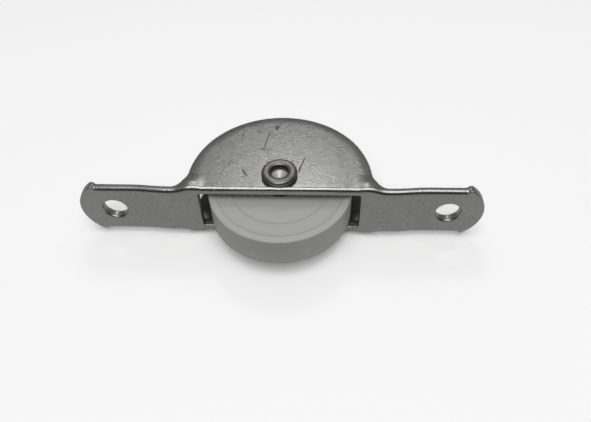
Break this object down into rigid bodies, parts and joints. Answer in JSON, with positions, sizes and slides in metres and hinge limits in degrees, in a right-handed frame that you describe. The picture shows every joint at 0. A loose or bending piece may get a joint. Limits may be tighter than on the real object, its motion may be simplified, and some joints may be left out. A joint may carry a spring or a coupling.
{
  "type": "door roller",
  "caption": "Recessed roller for a sliding door: a white nylon wheel turns on a rivet between the cheeks of a pressed steel housing with two screw wings.",
  "frame": {"origin": "below the middle of the object's box, on the surface that the part lies on, which touches the lower rivet head", "axes": "+X along the housing from wing to wing, +Z along the wheel's axis, -Y out of the front face, the way the wheel stands out towards its track"},
  "size_m": [0.084, 0.0334, 0.0159],
  "materials": {
    "stainless_sheet": "satin stainless steel, tumbled after pressing",
    "white_nylon": "semi-gloss turned nylon",
    "rivet_steel": "burnished steel",
    "sleeve_steel": "drawn steel tube"
  },
  "bodies": {
    "frame": {"housing": "stainless_sheet", "axle_rivet": "rivet_steel", "distance_sleeve": "sleeve_steel"},
    "roller": {"wheel": "white_nylon"}
  },
  "joints": [
    {"name": "wheel_spin", "type": "hinge", "parent": "frame", "child": "roller", "pos_m": [0, -0.00165, 0.00795], "axis": [0, 0, 1], "continuous": true}
  ]
}
